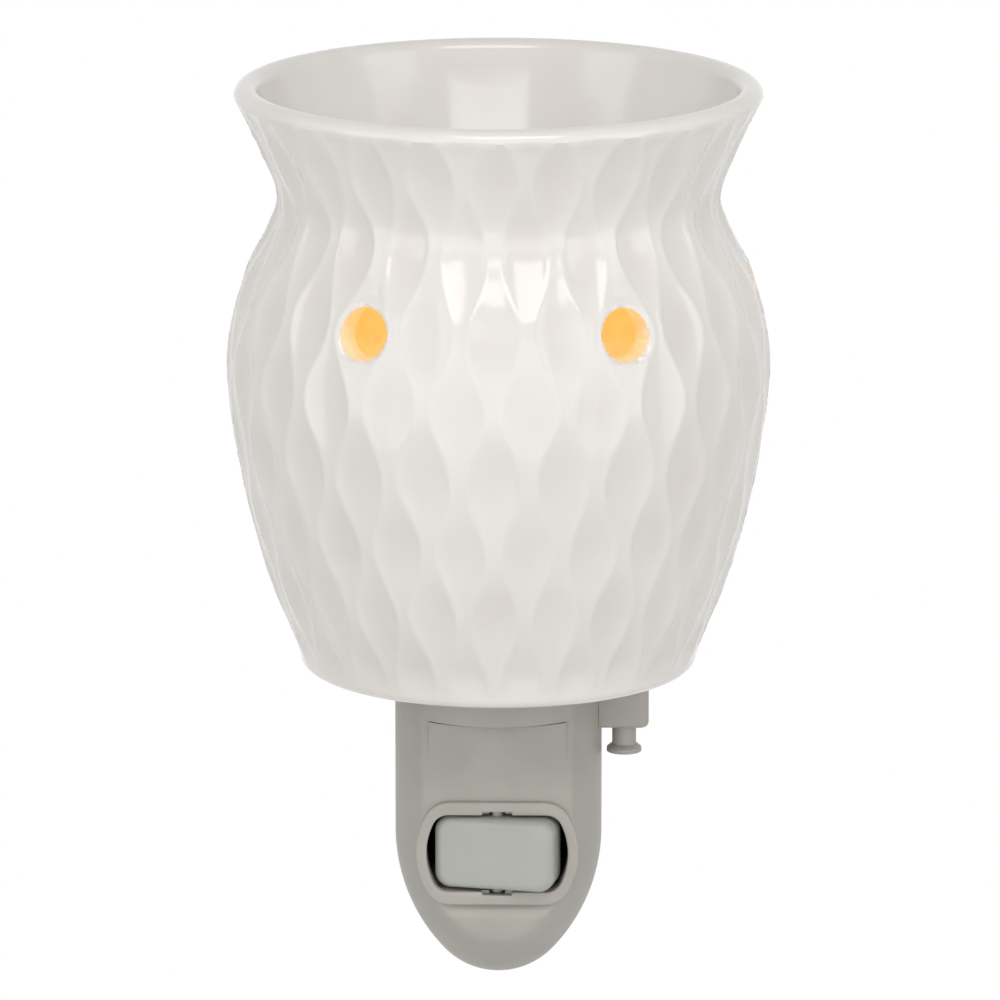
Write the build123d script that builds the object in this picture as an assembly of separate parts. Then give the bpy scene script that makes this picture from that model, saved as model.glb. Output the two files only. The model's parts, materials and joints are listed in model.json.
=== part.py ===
from build123d import *
import math
import os

# Plug-in wax melt warmer: a glazed ceramic shade with a wax dish stands on a moulded plug-in base.
# The origin is where the plug's axis meets the wall. X is right, Y runs into the wall, Z is up.

# Driving dimensions
wall_to_axis = 48.0
plug_drop = 27.0
clearance = 0.1
cut_over = 1.0

# Shade, heights above its foot
shade_height = 98.2
belly_radius = 45.0
foot_round = 2.0
lip_round = 2.1
shade_wall = 4.0
dish_depth = 24.0
dish_floor = 4.5
floor_lift = 3.0
floor_thickness = 4.0
foot_ring = 4.2
vent_radius = 4.25
vent_count = 6
neck_step = 8.4
rim_step = 1.4
belly_drop = 45.4
neck_drop = 18.9
vent_rise = 10.8
outer_lower_shares = ((0.5, 0.31), (0.84, 0.64), (1.0, 1.0))
outer_upper_shares = ((0.333, 0.5), (0.8, 0.8), (1.0, 1.0))
outer_rim_shares = ((0.42, 0.5), (1.0, 1.0))
shoulder_share = (0.42, 0.45)
chamber_low_share = 0.13
dish_edge_share = 0.27
flare_share = (0.55, 0.62)
dish_slope_share = 0.75
dish_roof_share = 0.3

# Moulded body, depths below the shade's foot
body_wall = 2.0
boss_sink = 0.15
panel_depth = 12.0
panel_round = 1.0
collar_depth = 6.9
nose_depth = 28.5
nose_height = 24.5
nose_tip_radius = 12.6
barrel_step = 0.75
barrel_wall = 2.5
plate_gap = 0.5

# Carrier plate and lug
plate_side_gap = 2.3
plate_thickness = 2.5
spigot_wall = 1.4
spigot_height = 3.6
spigot_clearance = 0.45
lug_edge = 1.4
lug_inner_share = 0.8695652174
lug_width = 8.4
lug_depth = 10.4
lug_round = 1.7

# Lock pin
pin_gap = 3.75
pin_to_lug = 4.1
pin_radius = 2.0
pin_tip = 3.0
flange_radius = 2.9
flange_top_radius = 2.2
flange_thickness = 1.3
flange_depth = 15.2
pin_chamber_radius = 3.2
pin_chamber_floor = 1.4
pin_chamber_roof = 1.0
flange_rim_share = 0.55
clip_radius = 3.0
clip_mouth_share = 0.8
clip_thickness = 0.8
pin_spring_wire = 0.5
pin_spring_turns = 5

# Lamp and lamp holder
lamp_length = 54.0
glass_radius = 11.1
glass_neck_radius = 5.6
glass_wall = 0.8
glass_shares = ((0.52, 0.09), (0.86, 0.25), (1.0, 0.42), (0.92, 0.62), (0.66, 0.82), (0.33, 0.95))
base_radius = 5.9
base_length = 14.0
base_wall = 0.5
insulator_length = 2.0
tip_length = 1.0
insulator_tip_radius = 2.6
tip_radius = 2.2
socket_radius = 9.0
socket_rise = 6.0
socket_depth = 14.0
socket_bore = 6.8
socket_floor = 4.5
socket_flange_radius = 10.4
socket_flange_thickness = 2.6
shell_wall = 0.4
shell_clearance = 0.3
contact_radius = 2.5
contact_thickness = 0.4
contact_leg_radius = 0.9
leg_reach = 2.0
tab_width = 3.0
stem_radius = 2.4
stem_share = 0.4054054054
lead_radius = 0.35
lead_spread = 2.6
lead_share = 0.6486486486
filament_radius = 0.3

# Screws
plate_screw_gap = 1.9
plate_boss_radius = 2.4
plate_boss_depth = 6.5
screw_radius = 1.1
screw_head_radius = 2.1
screw_head_height = 1.2
screw_fit = 0.05
ledge_depth = 5.5
housing_boss_radius = 2.3
upper_screw_share = 0.6840579710
upper_screw_depth = 9.5
nose_screw_share = 0.7428571429
housing_screw_reach = 6.5
housing_head_sink = 2.0

# Switch, its middle below the foot
switch_depth = 29.6
bezel_radius = 13.5
bezel_chord = 8.8
bezel_rise = 1.4
bezel_round = 1.0
bezel_edge = 0.45
opening_radius = 11.75
opening_chord = 6.6
opening_collar = 4.5
opening_collar_wall = 1.5
rocker_length = 20.3
rocker_width = 12.2
rocker_face = 3.6
rocker_depth = 6.1
rocker_wall = 1.4
rocker_corner = 2.4
rocker_edge = 1.5
rocker_tilt = 12.0
pivot_sink = 1.0
pivot_radius = 1.5
pivot_length = 1.25
notch_width = 4.3
notch_depth = 0.85
notch_sink = 1.2
throat_width = 2.7
stem_tube_radius = 2.4
plunger_radius = 1.5
plunger_reach = 7.0
plunger_length = 3.4
plunger_fit = 0.1
rocker_spring_wire = 0.3
rocker_spring_turns = 5
seesaw_gap = 0.12
seesaw_length = 14.0
seesaw_width = 3.5
seesaw_thickness = 0.6
seesaw_tilt = 6.0
seesaw_button_radius = 1.2
seesaw_button_height = 0.6
ridge_radius = 0.5
terminal_thickness = 0.6
common_width = 4.0
load_width = 4.0
terminal_height = 5.0
rivet_radius = 0.8
tray_length = 20.0
tray_height = 21.0
tray_thickness = 2.0
tray_leg = 1.8
tray_leg_length = 14.0

# Plug, standard flat blades
blade_spacing = 12.7
blade_width = 6.35
blade_thickness = 1.5
blade_length = 17.0
blade_point = 1.6
blade_tail = 2.0
rotor_radius = 9.5
rotor_thickness = 2.3
rotor_flange_radius = 11.0
rotor_flange = 2.8
washer_thickness = 0.5
retainer_thickness = 2.5
retainer_bore = 8.9
carrier_disc = 2.5
retainer_screw_edge = 1.6
retainer_boss_radius = 1.7
brush_thickness = 0.6
brush_inner = 5.0
brush_outer = 7.7
plug_turn = 90.0
brush_margin = 15.0
strip_thickness = 0.6
strip_width = 3.0

# Places worked out from the sizes above
plate_screw_circle = socket_radius + screw_head_radius + plate_screw_gap
body_radius = plate_screw_circle + plate_boss_radius + body_wall - boss_sink
barrel_radius = body_radius - barrel_step
barrel_bore = barrel_radius - body_wall
retainer_screw_circle = barrel_bore - retainer_screw_edge
upper_screw_spread = body_radius * upper_screw_share
spigot_radius = body_radius
pin_offset = body_radius + pin_gap
lug_inner = body_radius * lug_inner_share
lug_reach = pin_offset + pin_to_lug
plate_radius = lug_reach + lug_edge
foot_radius = plate_radius + plate_side_gap + foot_ring
belly_height = shade_height - belly_drop
neck_radius = belly_radius - neck_step
neck_height = shade_height - neck_drop
rim_radius = belly_radius - rim_step
vent_height = belly_height + vent_rise
nose_screw_depth = nose_depth + nose_height * nose_screw_share
axis_y = -wall_to_axis
foot = plug_drop
plate_low = foot + plate_gap
plate_top = plate_low + plate_thickness
body_top = plate_low
panel_y = axis_y - panel_depth
switch_z = foot - switch_depth
pivot_y = panel_y + pivot_sink
lug_low = foot - lug_depth
socket_low = foot - socket_depth
socket_floor_top = socket_low + socket_floor
lamp_low = socket_floor_top + contact_thickness + clearance
base_low = lamp_low + tip_length + insulator_length
glass_low = base_low + base_length
glass_length = lamp_length - tip_length - insulator_length - base_length
stem_length = glass_length * stem_share
lead_length = glass_length * lead_share
seesaw_front = pivot_y + plunger_reach + seesaw_gap
ridge_y = seesaw_front + seesaw_thickness + screw_fit + ridge_radius
terminal_front = ridge_y + ridge_radius
tray_front = terminal_front + terminal_thickness
tray_back = tray_front + tray_thickness
flange_back = -barrel_wall
flange_front = flange_back - rotor_flange
retainer_back = flange_front - washer_thickness
retainer_front = retainer_back - retainer_thickness
disc_front = retainer_front - carrier_disc
brush_back = flange_front - blade_tail - clearance
blade_x = blade_spacing / 2
brush_sweep = plug_turn + 2 * brush_margin
plate_screw_offset = plate_screw_circle / math.sqrt(2)

low_centre = (Align.CENTER, Align.CENTER, Align.MIN)


# Basic forms: upright round, round along Y, and a box between its corners
def upright(radius, low, top, x=0, y=axis_y):
    return Pos(x, y, low) * Cylinder(radius, top - low, align=low_centre)


def along_y(radius, front, back, x=0, z=0):
    return Pos(x, front, z) * Rot(-90, 0, 0) * Cylinder(radius, back - front, align=low_centre)


def block(x_span, y_span, z_span):
    low = [min(span) for span in (x_span, y_span, z_span)]
    size = [abs(span[1] - span[0]) for span in (x_span, y_span, z_span)]
    return Pos(*low) * Box(*size, align=(Align.MIN, Align.MIN, Align.MIN))


def spun(outline, x=0, y=axis_y, z=0):
    return Pos(x, y, z) * revolve(make_face(Plane.XZ * outline), Axis.Z)


def ring_of(shape, count, first):
    return [Pos(0, axis_y, 0) * Rot(0, 0, first + 360.0 * k / count) * shape for k in range(count)]


# Shade
def between(low, high, share):
    return low + (high - low) * share


# The ceramic's wall, from its foot to the lip and down the inside to the dish's edge
def lip_low():
    return shade_height - lip_round


def outer_points():
    points = [(foot_radius, foot_round)]
    for radius_share, height_share in outer_lower_shares:
        points.append((between(foot_radius, belly_radius, radius_share),
                       between(foot_round, belly_height, height_share)))
    for radius_share, height_share in outer_upper_shares:
        points.append((between(belly_radius, neck_radius, radius_share),
                       between(belly_height, neck_height, height_share)))
    for radius_share, height_share in outer_rim_shares:
        points.append((between(neck_radius, rim_radius, radius_share),
                       between(neck_height, lip_low(), height_share)))
    return points


def dish_edge():
    return neck_radius - shade_wall, between(shade_height - dish_depth, lip_low(), dish_edge_share)


def chamber_points():
    top = (dish_edge()[0], shade_height - dish_depth - dish_floor)
    shoulder = (between(belly_radius, neck_radius, shoulder_share[0]) - shade_wall,
                between(belly_height, neck_height, shoulder_share[1]))
    belly = (belly_radius - shade_wall, belly_height)
    lower = (between(foot_radius, belly_radius, outer_lower_shares[0][0]) - shade_wall,
             between(foot_round, belly_height, outer_lower_shares[0][1]))
    low = (between(foot_radius, belly_radius, chamber_low_share) - shade_wall, floor_lift + floor_thickness)
    return [top, shoulder, belly, lower, low]


def wall_outline():
    lip_inner = rim_radius - 2 * lip_round
    edge = dish_edge()
    flare = (between(edge[0], lip_inner, flare_share[0]),
             between(shade_height - dish_depth, lip_low(), flare_share[1]))
    chamber = chamber_points()
    ring_inner = foot_radius - foot_ring
    outline = Spline(outer_points())
    outline += ThreePointArc((rim_radius, lip_low()), (rim_radius - lip_round, shade_height),
                             (lip_inner, lip_low()))
    outline += Spline((lip_inner, lip_low()), flare, edge)
    outline += Line(edge, chamber[0])
    outline += Spline(chamber)
    outline += Polyline(chamber[-1], (ring_inner, chamber[-1][1]), (ring_inner, 0),
                        (foot_radius - foot_round, 0))
    corner = foot_round * (1 - math.sqrt(0.5))
    outline += ThreePointArc((foot_radius - foot_round, 0), (foot_radius - corner, corner),
                             (foot_radius, foot_round))
    return outline


# The dish's floor, a shallow bowl whose edge meets the wall at the neck
def dish_outline():
    edge = dish_edge()
    low = shade_height - dish_depth
    roof = low - dish_floor
    slope = edge[0] * dish_slope_share
    outline = Spline(edge, (slope, low + lip_round * dish_slope_share), (0, low))
    outline += Line((0, low), (0, roof))
    outline += Spline((0, roof), (slope, roof + lip_round * dish_roof_share), (edge[0], roof))
    return outline + Line((edge[0], roof), edge)


def vent_cut():
    return Pos(0, 0, foot + vent_height) * Rot(0, 90, 0) * Cylinder(
        vent_radius, belly_radius + cut_over, align=low_centre)


def pin_notch():
    reach = pin_radius + spigot_clearance
    floor_low = foot + floor_lift - cut_over
    floor_top = foot + floor_lift + floor_thickness + cut_over
    slot = block((0, pin_offset), (axis_y - reach, axis_y + reach), (floor_low, floor_top))
    return slot + upright(reach, floor_low, floor_top, pin_offset)


def make_shade():
    shade = spun(wall_outline(), z=foot)
    for cut in ring_of(vent_cut(), vent_count, 360.0 / vent_count / 2 - 90):
        shade -= cut
    return shade


def make_wax_dish():
    return spun(dish_outline(), z=foot)


def make_shade_floor():
    low = foot + floor_lift
    top = low + floor_thickness
    floor = upright(foot_radius - foot_ring, low, top)
    floor -= upright(spigot_radius + spigot_clearance, low - cut_over, top + cut_over)
    return floor - pin_notch()


# Moulded body: a round bar with a flat panel in front and a rounded nose below
def bullet(inset):
    radius = body_radius - inset
    height = nose_height - inset
    tip = nose_tip_radius - inset
    side = (radius ** 2 + height ** 2 - 2 * height * tip) / (2 * (radius - tip))
    turn = math.degrees(math.atan2(height - tip, side - radius))
    nose_z = foot - nose_depth
    top = body_top + (cut_over if inset else 0)
    outline = Polyline((0, nose_z - height), (0, top), (radius, top), (radius, nose_z))
    outline += CenterArc((radius - side, nose_z), side, -turn, turn)
    outline += CenterArc((0, nose_z - height + tip), tip, -90, 90 - turn)
    shape = Pos(0, axis_y, 0) * Rot(0, 0, 90) * revolve(make_face(Plane.XZ * outline), Axis.Z)
    flat_y = panel_y + inset
    shape -= block((-body_radius, body_radius), (flat_y - body_radius, flat_y),
                   (nose_z - nose_height, foot - collar_depth + inset))
    return shape if inset else rounded_panel(shape)


# The panel's long edges and its lower curve are rounded; its top edge lies under the collar
def rounded_panel(shape):
    panel = [face for face in shape.faces().filter_by(Axis.Y) if abs(face.center().Y - panel_y) < clearance]
    edges = [edge for edge in panel[0].edges() if edge.center().Z < foot - collar_depth - clearance]
    return fillet(edges, panel_round)


def double_d(radius, chord, front, back, corner=0.0):
    shape = along_y(radius, front, back, z=switch_z)
    shape &= block((-radius, radius), (front, back), (switch_z - chord, switch_z + chord))
    if corner:
        shape = fillet(shape.edges().filter_by(Axis.Y), corner)
    return shape


def plate_screw_places():
    side = plate_screw_offset
    return [(sx * side, axis_y + sy * side) for sy in (-1, 1) for sx in (-1, 1)]


def housing_screw_places():
    upper = foot - upper_screw_depth
    return [(-upper_screw_spread, upper), (upper_screw_spread, upper), (0, foot - nose_screw_depth)]


def body_shell():
    shell = bullet(0) - bullet(body_wall)
    ledge = upright(body_radius - body_wall / 2, foot - ledge_depth, ledge_top())
    ledge -= upright(socket_radius + clearance, foot - ledge_depth - cut_over, ledge_top() + cut_over)
    shell += ledge & bullet(body_wall / 2)
    for x, y in plate_screw_places():
        shell += upright(plate_boss_radius, foot - plate_boss_depth, body_top, x, y) & bullet(body_wall / 2)
    for x, z in housing_screw_places():
        shell += along_y(housing_boss_radius, panel_y, axis_y + panel_depth, x, z) & bullet(body_wall / 2)
    return shell


def ledge_top():
    return body_top - clearance - socket_flange_thickness


def screw_holes():
    holes = []
    for x, y in plate_screw_places():
        holes.append(upright(screw_radius + screw_fit, foot - plate_boss_depth + body_wall / 2,
                             body_top + cut_over, x, y))
    for x, z in housing_screw_places():
        head_y = housing_head_y(x, z)
        tip_y = axis_y - housing_screw_reach - screw_fit
        holes.append(along_y(screw_radius + screw_fit, tip_y, head_y, x, z))
        holes.append(along_y(screw_head_radius + clearance, head_y, head_y + wall_to_axis / 2, x, z))
    return holes


# The screw heads sink into the rear half, below its rounded back at that place
def housing_head_y(x, z):
    drop = max(foot - nose_depth - z, 0)
    radius = body_radius * math.sqrt(1 - (drop / nose_height) ** 2)
    return axis_y + math.sqrt(radius ** 2 - x ** 2) - housing_head_sink - screw_head_height


def switch_opening():
    bezel_front = panel_y - bezel_rise
    collar_back = panel_y + opening_collar + cut_over
    corner = opening_collar_wall / 2
    shape = double_d(opening_radius, opening_chord, bezel_front - cut_over, collar_back, corner)
    deep = opening_chord + notch_depth
    z_span = (switch_z - deep, switch_z + deep)
    notch_y = (bezel_front - cut_over, bezel_front + notch_sink)
    notch = block((-notch_width / 2, notch_width / 2), notch_y, z_span)
    throat = block((-throat_width / 2, throat_width / 2), (bezel_front, pivot_y), z_span)
    bore = upright(pivot_radius + screw_fit, switch_z - deep, switch_z + deep, 0, pivot_y)
    return shape + notch + throat + bore


def make_front_housing():
    front = body_shell() & block((-body_radius, body_radius), (axis_y - body_radius, axis_y),
                                 (foot - nose_depth - nose_height, body_top))
    bezel = double_d(bezel_radius, bezel_chord, panel_y - bezel_rise, panel_y + body_wall, bezel_round)
    collar_radius = opening_radius + opening_collar_wall
    collar = double_d(collar_radius, opening_chord + opening_collar_wall, panel_y, panel_y + opening_collar)
    front += bezel
    front += collar & bullet(body_wall / 2)
    front -= switch_opening()
    rim = [edge for edge in front.edges() if abs(edge.center().Y - panel_y + bezel_rise) < clearance / 2]
    front = fillet(rim, bezel_edge)
    for hole in screw_holes():
        front -= hole
    return front


def make_rear_housing():
    rear = body_shell() & block((-body_radius, body_radius), (axis_y, 0), (foot - nose_depth - nose_height,
                                body_top))
    rear -= along_y(barrel_bore, axis_y + housing_boss_radius, 0)
    for hole in screw_holes():
        rear -= hole
    return rear


# The barrel is welded onto the rear half and holds the plug at its far end
def make_plug_barrel():
    barrel = along_y(barrel_radius, axis_y, 0) - along_y(barrel_bore, axis_y - cut_over, -barrel_wall)
    barrel -= bullet(0)
    barrel -= along_y(rotor_radius + clearance, -barrel_wall - cut_over, cut_over)
    for side in (-1, 1):
        z = side * retainer_screw_circle
        boss = along_y(retainer_boss_radius, retainer_back, flange_back, z=z)
        barrel += boss & along_y(barrel_bore + body_wall / 2, retainer_back, flange_back)
        hole_back = flange_back + barrel_wall / 2
        barrel -= along_y(screw_radius / 2 + screw_fit, retainer_back - cut_over, hole_back, z=z)
    for hole in screw_holes():
        barrel -= hole
    return barrel


def pan_screw(length):
    return Cylinder(screw_radius, length, align=(Align.CENTER, Align.CENTER, Align.MAX)) + Cylinder(
        screw_head_radius, screw_head_height, align=low_centre)


def make_plate_screws():
    length = plate_thickness + plate_boss_depth - body_wall
    return Compound([Pos(x, y, plate_top) * pan_screw(length) for x, y in plate_screw_places()])


def make_housing_screws():
    screws = []
    for x, z in housing_screw_places():
        head_y = housing_head_y(x, z)
        shank = head_y - axis_y + housing_screw_reach
        screws.append(Pos(x, head_y, z) * Rot(-90, 0, 0) * pan_screw(shank))
    return Compound(screws)


# Carrier plate with its spigot and the lug of the lock pin
def make_carrier_plate():
    plate = upright(plate_radius, plate_low, plate_top)
    plate = fillet(plate.edges().group_by(Axis.Z)[-1], plate_gap)
    spigot = upright(spigot_radius, plate_top, plate_top + spigot_height)
    spigot -= upright(spigot_radius - spigot_wall, plate_top, plate_top + spigot_height)
    half = lug_width / 2
    lug = block((lug_inner, lug_reach), (axis_y - half, axis_y + half), (lug_low, plate_low))
    outer_edges = lug.edges().filter_by(Axis.Z).group_by(Axis.X)[-1]
    lug = fillet(outer_edges, lug_round)
    lug = fillet(lug.faces().sort_by(Axis.Z)[0].edges().sort_by(Axis.X)[1:], lug_round / 2)
    lug -= upright(body_radius + screw_fit, lug_low - cut_over, plate_low)
    plate += spigot + lug
    plate -= upright(socket_radius + clearance, plate_low - cut_over, plate_top + cut_over)
    hole_top = plate_top + spigot_height + cut_over
    plate -= upright(pin_radius + screw_fit, lug_low - cut_over, hole_top, pin_offset)
    chamber_top = plate_low - pin_chamber_roof
    plate -= upright(pin_chamber_radius, lug_low + pin_chamber_floor, chamber_top, pin_offset)
    for x, y in plate_screw_places():
        plate -= upright(screw_radius + screw_fit, plate_low - cut_over, plate_top + cut_over, x, y)
    return plate


# Lock pin, held up by its spring
def make_lock_pin():
    top = plate_top + pin_tip
    low = foot - flange_depth
    pin = upright(pin_radius, low, top, pin_offset)
    pin = chamfer(pin.edges().group_by(Axis.Z)[-1], pin_radius / 4)
    rim_top = low + flange_thickness * flange_rim_share
    cone = Pos(pin_offset, axis_y, rim_top) * Cone(
        flange_radius, flange_top_radius, low + flange_thickness - rim_top, align=low_centre)
    return pin + cone + upright(flange_radius, low, rim_top, pin_offset)


def clip_low():
    return plate_low - pin_chamber_roof - clearance - clip_thickness


def make_pin_clip():
    low = clip_low()
    clip = upright(clip_radius, low, low + clip_thickness, pin_offset)
    clip -= upright(pin_radius, low - cut_over, low + clip_thickness + cut_over, pin_offset)
    mouth = pin_radius * clip_mouth_share
    return clip - block((pin_offset, pin_offset + clip_radius + cut_over), (axis_y - mouth, axis_y + mouth),
                        (low - cut_over, low + clip_thickness + cut_over))


def coil(radius, wire, length, turns):
    rise = length - 2 * wire
    path = Helix(rise / turns, rise, radius)
    section = Plane(origin=path @ 0, z_dir=path % 0) * Circle(wire)
    return sweep(section, path)


def make_pin_spring():
    low = lug_low + pin_chamber_floor
    wire = pin_spring_wire / 2
    centre = (pin_radius + pin_chamber_radius) / 2
    return Pos(pin_offset, axis_y, low + wire) * coil(centre, wire, clip_low() - low, pin_spring_turns)


# Lamp holder
def make_lamp_socket():
    socket = upright(socket_radius, socket_low, foot + socket_rise)
    socket += upright(socket_flange_radius, ledge_top(), ledge_top() + socket_flange_thickness)
    socket -= upright(socket_bore, socket_floor_top, foot + socket_rise + cut_over)
    socket -= upright(contact_leg_radius + screw_fit, socket_low - cut_over, socket_floor_top)
    tab_low, tab_high = shell_tab_span()
    socket -= block((-tab_width / 2 - screw_fit, tab_width / 2 + screw_fit),
                    (tab_low - screw_fit, tab_high + screw_fit), (socket_low - cut_over, socket_floor_top))
    return socket


def shell_radius():
    return base_radius + shell_clearance + shell_wall


def shell_tab_span():
    inner = axis_y + shell_radius() - shell_wall - screw_fit
    return inner, inner + shell_wall


def make_socket_shell():
    low = socket_floor_top + shell_clearance
    top = foot + socket_rise - shell_clearance
    shell = upright(shell_radius(), low, top)
    shell -= upright(shell_radius() - shell_wall, low - cut_over, top + cut_over)
    tab = block((-tab_width / 2, tab_width / 2), shell_tab_span(), (socket_low - leg_reach, low + tab_width))
    return shell + tab


def make_socket_contact():
    contact = upright(contact_radius, socket_floor_top, socket_floor_top + contact_thickness)
    return contact + upright(contact_leg_radius, socket_low - leg_reach, socket_floor_top)


# Lamp: a small flame-shaped bulb with a candelabra base
def glass_points(inset):
    points = [(glass_neck_radius - inset, 0)]
    for radius_share, height_share in glass_shares:
        points.append((glass_radius * radius_share - inset, glass_length * height_share))
    points.append((0, glass_length - inset))
    return points


def glass_solid(inset):
    points = glass_points(inset)
    outline = Spline(points, tangents=((0, 1), (-1, 0)))
    outline += Polyline(points[-1], (0, 0), points[0])
    return spun(outline, z=glass_low)


def make_bulb_glass():
    return glass_solid(0) - glass_solid(glass_wall)


def make_bulb_base():
    base = upright(base_radius, base_low, glass_low)
    return base - upright(base_radius - base_wall, base_low - cut_over, glass_low + cut_over)


def make_bulb_insulator():
    outline = Polyline((0, 0), (insulator_tip_radius, 0), (base_radius, insulator_length),
                       (0, insulator_length), (0, 0))
    plug = spun(outline, z=lamp_low + tip_length)
    return plug + upright(base_radius - base_wall, base_low, base_low + insulator_length)


def make_bulb_tip():
    tip = upright(tip_radius, lamp_low, lamp_low + tip_length)
    return fillet(tip.edges().group_by(Axis.Z)[0], tip_length / 3)


def make_bulb_stem():
    foot_disc = upright(base_radius - base_wall, glass_low - insulator_length, glass_low)
    stem = upright(stem_radius, glass_low, glass_low + stem_length)
    stem = fillet(stem.edges().group_by(Axis.Z)[-1], stem_radius / 2)
    return foot_disc + stem


def make_filament_leads():
    leads = []
    for side in (-1, 1):
        leads.append(upright(lead_radius, glass_low + stem_length, glass_low + lead_length,
                             side * (stem_radius - lead_radius * 2)))
    return Compound(leads)


def make_filament():
    end_x = stem_radius - lead_radius * 2
    top = glass_low + lead_length + filament_radius
    path = ThreePointArc((-end_x, axis_y, top), (0, axis_y, top + lead_spread), (end_x, axis_y, top))
    section = Plane(origin=path @ 0, z_dir=path % 0) * Circle(filament_radius)
    return sweep(section, path)


# Rocker, modelled level about its own pivot and then tipped to the lit position
def seated(shape, tilt):
    return Pos(0, pivot_y, switch_z) * Rot(0, 0, tilt) * shape


def make_rocker():
    back = rocker_depth - rocker_face
    half = rocker_length / 2
    body = block((-half, half), (-rocker_face, back), (-rocker_width / 2, rocker_width / 2))
    body = fillet(body.edges().filter_by(Axis.Y), rocker_corner)
    body = fillet(body.faces().sort_by(Axis.Y)[0].edges(), rocker_edge)
    inside = half - rocker_wall
    tall = rocker_width / 2 - rocker_wall
    body -= block((-inside, inside), (rocker_wall - rocker_face, back + cut_over), (-tall, tall))
    stem_back = plunger_reach - plunger_radius
    stem = along_y(stem_tube_radius, rocker_wall - rocker_face, stem_back)
    web = block((-rocker_wall / 2, rocker_wall / 2), (rocker_wall - rocker_face, back), (-tall, tall))
    body += stem + web
    body -= along_y(plunger_radius + plunger_fit, 0, stem_back + cut_over)
    reach = rocker_width / 2 + pivot_length
    pivots = Cylinder(pivot_radius, 2 * reach) - Cylinder(pivot_radius + cut_over, rocker_width - rocker_wall)
    return seated(body + pivots, -rocker_tilt)


def make_rocker_plunger():
    centre_y = plunger_reach - plunger_radius
    ball = Pos(0, centre_y, 0) * Sphere(plunger_radius)
    return seated(ball + along_y(plunger_radius, plunger_reach - plunger_length, centre_y), -rocker_tilt)


def make_rocker_spring():
    wire = rocker_spring_wire / 2
    length = plunger_reach - plunger_length
    spring = Pos(0, wire, 0) * Rot(-90, 0, 0) * coil(plunger_radius - wire, wire, length, rocker_spring_turns)
    return seated(spring, -rocker_tilt)


# Switch contacts behind the rocker
def make_seesaw_contact():
    half = seesaw_length / 2
    offset = ridge_radius + screw_fit
    bar = block((-half, half), (-offset - seesaw_thickness, -offset), (-seesaw_width / 2, seesaw_width / 2))
    for side in (-1, 1):
        bar += along_y(seesaw_button_radius, -offset, seesaw_button_height - offset,
                       side * (half - seesaw_button_radius))
    return Pos(0, ridge_y, switch_z) * Rot(0, 0, seesaw_tilt) * bar


def load_button_x():
    return (seesaw_length / 2 - seesaw_button_radius) * math.cos(math.radians(seesaw_tilt))


def load_button_front():
    tilt = math.radians(seesaw_tilt)
    back = seesaw_button_height - ridge_radius - screw_fit
    outer = seesaw_length / 2
    return ridge_y + outer * math.sin(tilt) + back * math.cos(tilt) + screw_fit


def make_common_terminal():
    half = common_width / 2
    tall = terminal_height / 2
    plate = block((-half, half), (terminal_front, tray_front), (switch_z - tall, switch_z + tall))
    plate += upright(ridge_radius, switch_z - seesaw_width / 2, switch_z + seesaw_width / 2, 0, ridge_y)
    plate += block((-ridge_radius, ridge_radius), (ridge_y, terminal_front),
                   (switch_z - seesaw_width / 2, switch_z + seesaw_width / 2))
    return plate + along_y(rivet_radius, tray_front, tray_back, z=switch_z)


def make_load_terminal():
    x = load_button_x()
    half = load_width / 2
    tall = terminal_height / 2
    plate = block((x - half, x + half), (load_button_front(), tray_front), (switch_z - tall, switch_z + tall))
    return plate + along_y(rivet_radius, tray_front, tray_back, x, switch_z)


def make_switch_base():
    half = tray_length / 2
    tall = tray_height / 2
    tray = block((-half, half), (tray_front, tray_back), (switch_z - tall, switch_z + tall))
    wide = tray_leg_length / 2
    for side in (-1, 1):
        tray += block((-wide, wide), (panel_y + body_wall, tray_front),
                      (switch_z + side * tall, switch_z + side * (tall - tray_leg)))
    for x in (0, load_button_x()):
        tray -= along_y(rivet_radius + screw_fit, tray_front - cut_over, tray_back + cut_over, x, switch_z)
    return tray


# Brass strips from the plug to the switch and the lamp
def brush(first_angle):
    arc = along_y(brush_outer, brush_back - brush_thickness, brush_back)
    arc -= along_y(brush_inner, brush_back - brush_thickness - cut_over, brush_back + cut_over)
    reach = brush_outer * 2
    wedge = []
    for angle in (first_angle, first_angle + brush_sweep / 2, first_angle + brush_sweep):
        turn = math.radians(angle)
        wedge.append((reach * math.cos(turn), reach * math.sin(turn)))
    face = make_face(Plane.XZ * Polyline((0, 0), *wedge, (0, 0)))
    slice_ = Pos(0, brush_back + cut_over, 0) * extrude(face, brush_thickness + 2 * cut_over)
    return arc & slice_


def leg_x():
    return (brush_inner + brush_outer) / 2 * math.sqrt(0.5)


def make_live_strip():
    x = leg_x()
    strip = brush(-45 - brush_sweep / 2)
    low = -x - strip_width / 2
    strip_back = tray_back + strip_thickness
    strip += block((x - strip_thickness / 2, x + strip_thickness / 2), (tray_back, brush_back),
                   (low, low + strip_width))
    return strip + block((-rivet_radius * 2, x + strip_thickness / 2), (tray_back, strip_back),
                         (low, switch_z + rivet_radius * 2))


def make_neutral_strip():
    x = -leg_x()
    tab_back = shell_tab_span()[1]
    strip = brush(135 - brush_sweep / 2)
    low = -x - strip_width / 2
    top = socket_low - clearance
    turn_y = tab_back + strip_width
    strip += block((x - strip_thickness / 2, x + strip_thickness / 2), (tab_back, brush_back),
                   (low, low + strip_width))
    strip += block((x - strip_thickness / 2, x + strip_thickness / 2), (tab_back, turn_y), (low, top))
    return strip + block((x - strip_thickness / 2, tab_width / 2), (tab_back, tab_back + strip_thickness),
                         (top - leg_reach + clearance, top))


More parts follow.
